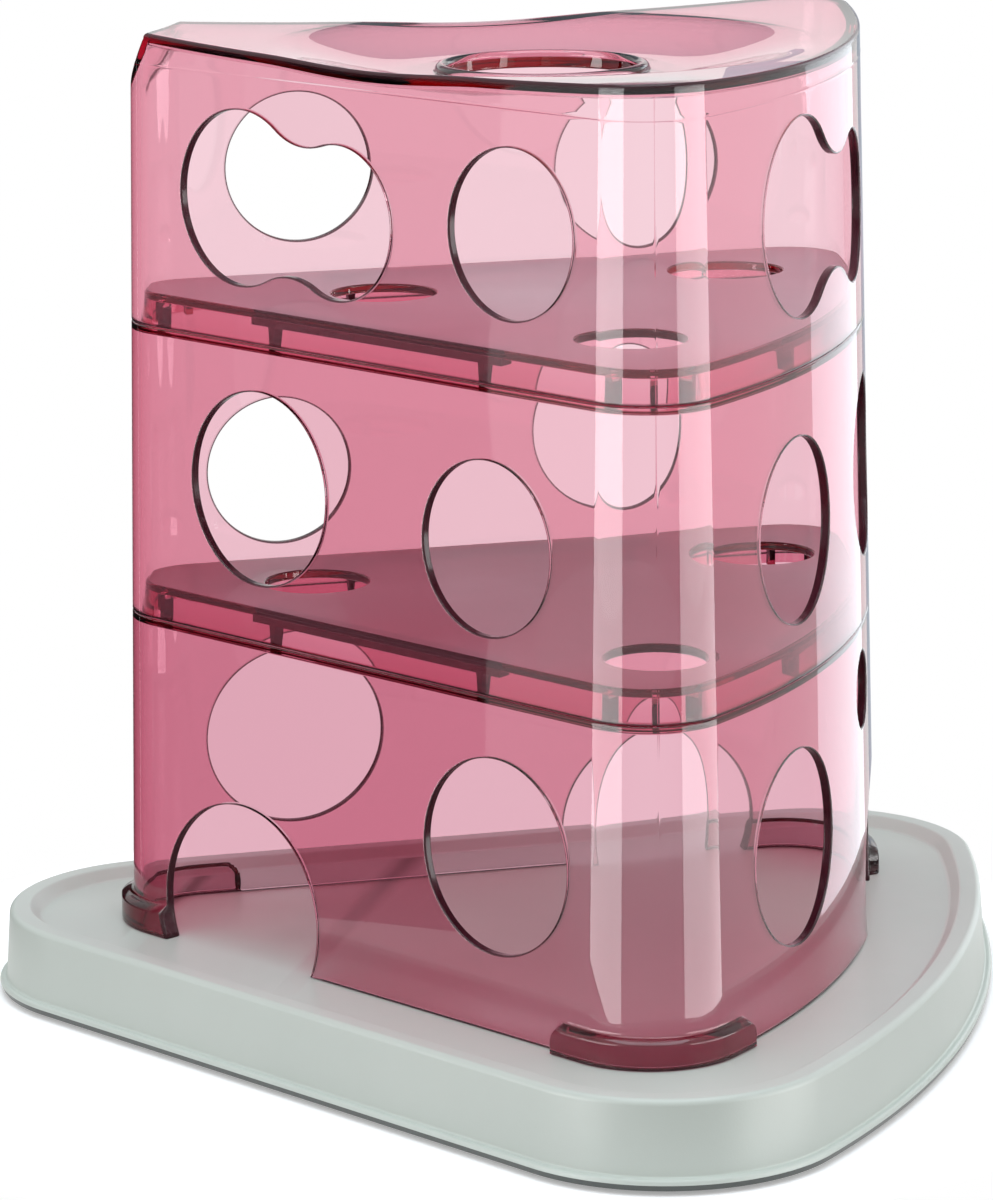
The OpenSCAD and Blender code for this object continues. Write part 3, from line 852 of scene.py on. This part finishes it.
def clear_berry(name, tint, density):
    """Clear tinted plastic: colour from the depth of material, etched floors and painted shade on cut edges.

    The painted shade darkens the edges seen from outside and stays off from within; lamps shine through the
    plastic.
    """
    etching, inner_fade, etched_shadow = 0.85, 0.85, 0.6
    finish = Finish(bpy.data.materials.new(name))
    frost, shade = finish.marked("frost"), finish.marked("shade")
    flow, handled, grain = finish.mottle(9.0), finish.mottle(55.0, 3.0), finish.mottle(2600.0)
    clear = finish.node("BsdfPrincipled", {}, {
        "Base Color": (1, 1, 1, 1), "Roughness": handled * 0.03, "IOR": 1.49, "Transmission Weight": 1.0,
        "Normal": finish.bump(flow, 0.05, 0.004)})
    etched = finish.node("BsdfPrincipled", {}, {
        "Base Color": finish.blend(handled, (0.43, 0.415, 0.425, 1), (0.50, 0.485, 0.495, 1)),
        "Roughness": 0.5, "IOR": 1.49, "Transmission Weight": 0.4,
        "Normal": finish.bump(grain, 0.25, 0.0002)})
    surface = finish.node("MixShader", {}, {0: frost * etching, 1: clear, 2: etched})
    # Near-black gloss mixed in by the shade mark: painted shade on cut edges, the rim, the collars and the
    # notch
    edge = finish.node("BsdfPrincipled", {}, {
        "Base Color": finish.blend(handled, (0.030, 0.006, 0.011, 1), (0.060, 0.012, 0.020, 1)),
        "Roughness": 0.12 + handled * 0.1, "IOR": 1.3})
    within = finish.node("NewGeometry", {}, {}, "Backfacing")
    surface = finish.node("MixShader", {}, {0: shade * (1 - within * inner_fade), 1: surface, 2: edge})
    lamp = finish.node("LightPath", {}, {}, "Is Shadow Ray")
    let_through = finish.node("BsdfTransparent", {}, {"Color": (0.92, 0.90, 0.91, 1)})
    surface = finish.node("MixShader", {}, {
        0: lamp * (1 - frost * etched_shadow), 1: surface, 2: let_through})
    depth = finish.node("VolumeAbsorption", {}, {"Color": tint, "Density": density})
    return finish.done(Surface=surface, Volume=depth)


def painted_shade_berry():
    """Bars and gussets below the floors, of the same clear plastic as the tiers, painted opaque and nearly
    black as shade.
    """
    finish = Finish(bpy.data.materials.new("painted_shade_berry"))
    depth = finish.mottle(90.0, 3.0)
    return finish.done(Surface=finish.node("BsdfPrincipled", {}, {
        "Base Color": finish.blend(depth, (0.022, 0.003, 0.006, 1), (0.05, 0.008, 0.015, 1)),
        "Roughness": 0.12 + depth * 0.1, "IOR": 1.3}))


def mint_satin():
    """Satin grey-green moulded plastic with a fine spark texture and a painted shadow in the flange's
    undercut.
    """
    finish = Finish(bpy.data.materials.new("mint_satin"))
    clouds, spark = finish.mottle(14.0, 3.0), finish.mottle(1500.0, 3.0)
    handled = finish.mottle(60.0, 4.0)
    colour = finish.blend(clouds, (0.50, 0.545, 0.50, 1), (0.56, 0.60, 0.555, 1))
    # Painted shadow: near-black grey where the shade mark lies, under the flange
    colour = finish.blend(finish.marked("shade"), colour, (0.10, 0.11, 0.105, 1))
    return finish.done(Surface=finish.node("BsdfPrincipled", {}, {
        "Base Color": colour, "Roughness": 0.32 + handled * 0.12, "IOR": 1.4,
        "Normal": finish.bump(spark, 0.12, 0.00015)}))


def foot_rubber():
    """Dark rubber with a dusty bloom."""
    finish = Finish(bpy.data.materials.new("foot_rubber"))
    bloom, grit = finish.mottle(120.0, 4.0), finish.mottle(1800.0)
    colour = finish.blend(bloom, (0.018, 0.018, 0.019, 1), (0.045, 0.045, 0.046, 1))
    return finish.done(Surface=finish.node("BsdfPrincipled", {}, {
        "Base Color": colour, "Roughness": 0.62 + bloom * 0.25,
        "Normal": finish.bump(grit, 0.3, 0.0002)}))


def seen_directly(finish):
    """1 for rays that show the background: to the camera, off gloss or through clear plastic."""
    camera, glossy, through = (finish.node("LightPath", {}, {}, name) for name in
                               ("Is Camera Ray", "Is Glossy Ray", "Is Transmission Ray"))
    return (camera + glossy + through).at_most(1.0)


def studio():
    """White room, pale floor, soft boxes beside the camera and above, and strips that only gloss shows."""
    world = bpy.data.worlds.new("white_room")
    bpy.context.scene.world = world
    finish = Finish(world)
    strength = 0.5 + seen_directly(finish) * 0.5
    finish.done(Surface=finish.node("Background", {}, {"Color": (1, 1, 1, 1), "Strength": strength}))

    # The floor ends near the tray, so that the strips still show in the collars
    floor_r, steps = 0.19, 96
    mesh = bpy.data.meshes.new("floor")
    mesh.from_pydata([(x, y, 0) for x, y in (floor_r * circle(steps)).tolist()], [], [tuple(range(steps))])
    floor = placed("floor", mesh)
    finish = Finish(bpy.data.materials.new("pale_floor"))
    paper = finish.node("BsdfDiffuse", {}, {"Color": (0.85, 0.85, 0.85, 1)})
    camera = finish.node("LightPath", {}, {}, "Is Camera Ray")
    glow = finish.node("Emission", {}, {"Color": (1, 1, 1, 1), "Strength": camera * 0.3})
    lit = finish.node("AddShader", {}, {0: paper, 1: glow})
    sheet = finish.node("Emission", {}, {"Color": (1, 1, 1, 1), "Strength": 1.0})
    mesh.materials.append(finish.done(Surface=finish.node(
        "MixShader", {}, {0: seen_directly(finish) - camera, 1: lit, 2: sheet})))

    # Strips stand low and look level; soft boxes look at a point above the foot of the front corner
    low, aimed = 0.02, 0.1
    front = np.array([TOWER.corner[-60][0] + MIDDLE_X, TOWER.corner[-60][1]]) * MM
    white, cool = (1, 1, 1), (0.82, 0.92, 1)
    # Name, bearing and distance from the front corner, width, height, level of the middle,
    # brightness, whether only gloss shows it, tint
    for name, bearing, away, width, height, level, bright, gloss, tint in (
            ("left_soft_box", -135, 1.4, 1.1, 1.4, 0.5, 1.04, False, white),
            ("right_soft_box", 0, 1.45, 1.3, 1.4, 0.5, 0.86, False, white),
            ("top_soft_box", -74, 0.1, 1.2, 1.2, 1.5, 3.8, False, cool),
            ("left_strip", -138, 1.25, 1.11, 1.3, low, 5.2, True, white),
            ("right_strip", 1.5, 1.3, 1.6, 1.3, low, 4.6, True, white),
            ("rim_strip", 74, 1.41, 0.55, 1.3, low, 1.3, True, cool)):
        lamp = bpy.data.lights.new(name, "AREA")
        lamp.shape, lamp.size, lamp.size_y = "RECTANGLE", width, height
        lamp.energy, lamp.color = bright * math.pi * width * height, tint
        light = placed(name, lamp)
        light.location = Vector((*(front + away * turned(math.radians(bearing))), level))
        aim = Vector((*front, low if gloss else aimed)) - light.location
        light.rotation_mode = "QUATERNION"
        light.rotation_quaternion = aim.to_track_quat("-Z", "Y")
        light.visible_diffuse = not gloss
        light.visible_transmission = light.visible_camera = False


def gloss_cards():
    """Black, grey and cool cards that only gloss shows, so that clear edges stand out from the room."""
    black, grey, cool = (0.02, 0.02, 0.02, 1), (0.30, 0.33, 0.37, 1), (0.50, 0.56, 0.64, 1)
    foot, top = -0.8, 0.35
    # Name, bearing and distance from the middle, width, lower and upper edge, colour
    for name, bearing, away, width, low, high, colour in (
            ("left_card", 180, 1.3, 0.88, foot, top, black),
            ("left_rear_card", 140, 1.3, 0.95, foot, top, black),
            ("right_rear_card", 94, 1.4, 0.30, foot, top, cool),
            ("rear_top_card", 101, 1.4, 1.6, 0.62, 2.2, grey)):
        finish = Finish(bpy.data.materials.new(name))
        middle, along = away * turned(math.radians(bearing)), width / 2 * turned(math.radians(bearing + 90))
        mesh = bpy.data.meshes.new(name)
        corners = [(*(middle + end * along), z)
                   for end, z in ((-1, low), (1, low), (1, high), (-1, high))]
        mesh.from_pydata(corners, [], [(0, 1, 2, 3)])
        mesh.materials.append(finish.done(Surface=finish.node(
            "Emission", {}, {"Color": colour, "Strength": 1.0})))
        card = placed(name, mesh)
        card.visible_camera = card.visible_diffuse = card.visible_transmission = card.visible_shadow = False


def photo_camera():
    """Camera at the photograph's angle, for a picture of 993 by 1200."""
    target = Vector((-3.86, 0, 113.69)) * MM
    azimuth, elevation, roll = math.radians(15.60), math.radians(12.926), math.radians(-0.688)
    distance = 1374.8 * MM
    camera = bpy.data.cameras.new("camera")
    camera.lens, camera.sensor_width, camera.shift_x = 152.84, 36, 0.0295
    camera.clip_start = 0.05
    view = placed("camera", camera)
    away = Vector((math.sin(azimuth) * math.cos(elevation), -math.cos(azimuth) * math.cos(elevation),
                   math.sin(elevation)))
    view.location = target + distance * away
    view.rotation_mode = "QUATERNION"
    view.rotation_quaternion = (-away).to_track_quat("-Z", "Y") @ Quaternion((0, 0, 1), roll)
    bpy.context.scene.camera = view


TOWER = Plan(SPAN, CORNER_R, BOW_R)
COLLARS = [(TOWER.start[name] - COLLAR_RUN, TOWER.start[name] + TOWER.length[name] + COLLAR_RUN)
           for name in ("left_corner", "front_corner")]
COLLARS += [(-COLLAR_RUN, TOWER.start["right"] + COLLAR_RUN),
            (TOWER.start["right_corner"] - COLLAR_RUN, TOWER.around + COLLAR_RUN)]
PARTING_S, PARTING_Z = TOWER.middle("front_corner"), DISH_Z - LINE_DROP
NOTCH_RIM = dish_at(SPAN / math.sqrt(3) + face_d(DISH_Z))
# Closer stations at the ends of the collars, at the parting ridge and round the notched corner
fine = np.concatenate([np.add.outer(np.ravel(COLLARS), np.arange(-5.2, 5.3, 0.4)).ravel(),
                       PARTING_S + PARTING_W * np.arange(-2, 3),
                       TOWER.start["left_corner"] + TOWER.length["left_corner"] * np.linspace(0, 1, 89)])
fine = fine[(fine > 0) & (fine < TOWER.around)]
TOWER.stations = np.unique(np.round(np.concatenate([TOWER.stations, fine]), 6))

painted_black_shade = painted_shade_berry()
# The same plastic in each tier, denser and darker the lower the tier: painted shade for the light that the
# tiers above take away
berry = {tier: clear_berry("clear_berry_" + tier, (red, 0.10, 0.305, 1), density)
         for tier, red, density in (("lower", 0.75, 335.0), ("middle", 0.80, 268.0), ("top", 0.83, 200.0))}
arches = [RoundHole(TOWER.place(side, arch), LOWER_Z + arch[2], arch[3])
          for side, row in ARCHES.items() for arch in row]
mint = mint_satin()
base_tray().piece("tray_moulding", "tray", "base_tray", "tray_plastic", mint, mint)
carrying_tier("lower", LOWER_Z, MIDDLE_Z, collared, arches, collar_painted_shade).piece(
    "lower_moulding", "lower", "lower_tier", "clear_plastic", berry["lower"], painted_black_shade)
carrying_tier("middle", MIDDLE_Z, TOP_Z, plain).piece(
    "middle_moulding", "middle", "middle_tier", "clear_plastic", berry["middle"], painted_black_shade)
top_tier().piece("top_moulding", "top", "top_tier", "clear_plastic", berry["top"], painted_black_shade)

rubber = foot_rubber()
for i in range(1, 7):
    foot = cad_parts[f"foot_{i}"]
    foot.data.materials.clear()
    foot.data.materials.append(rubber)

studio()
gloss_cards()
photo_camera()
bpy.context.scene.view_settings.view_transform = "Standard"
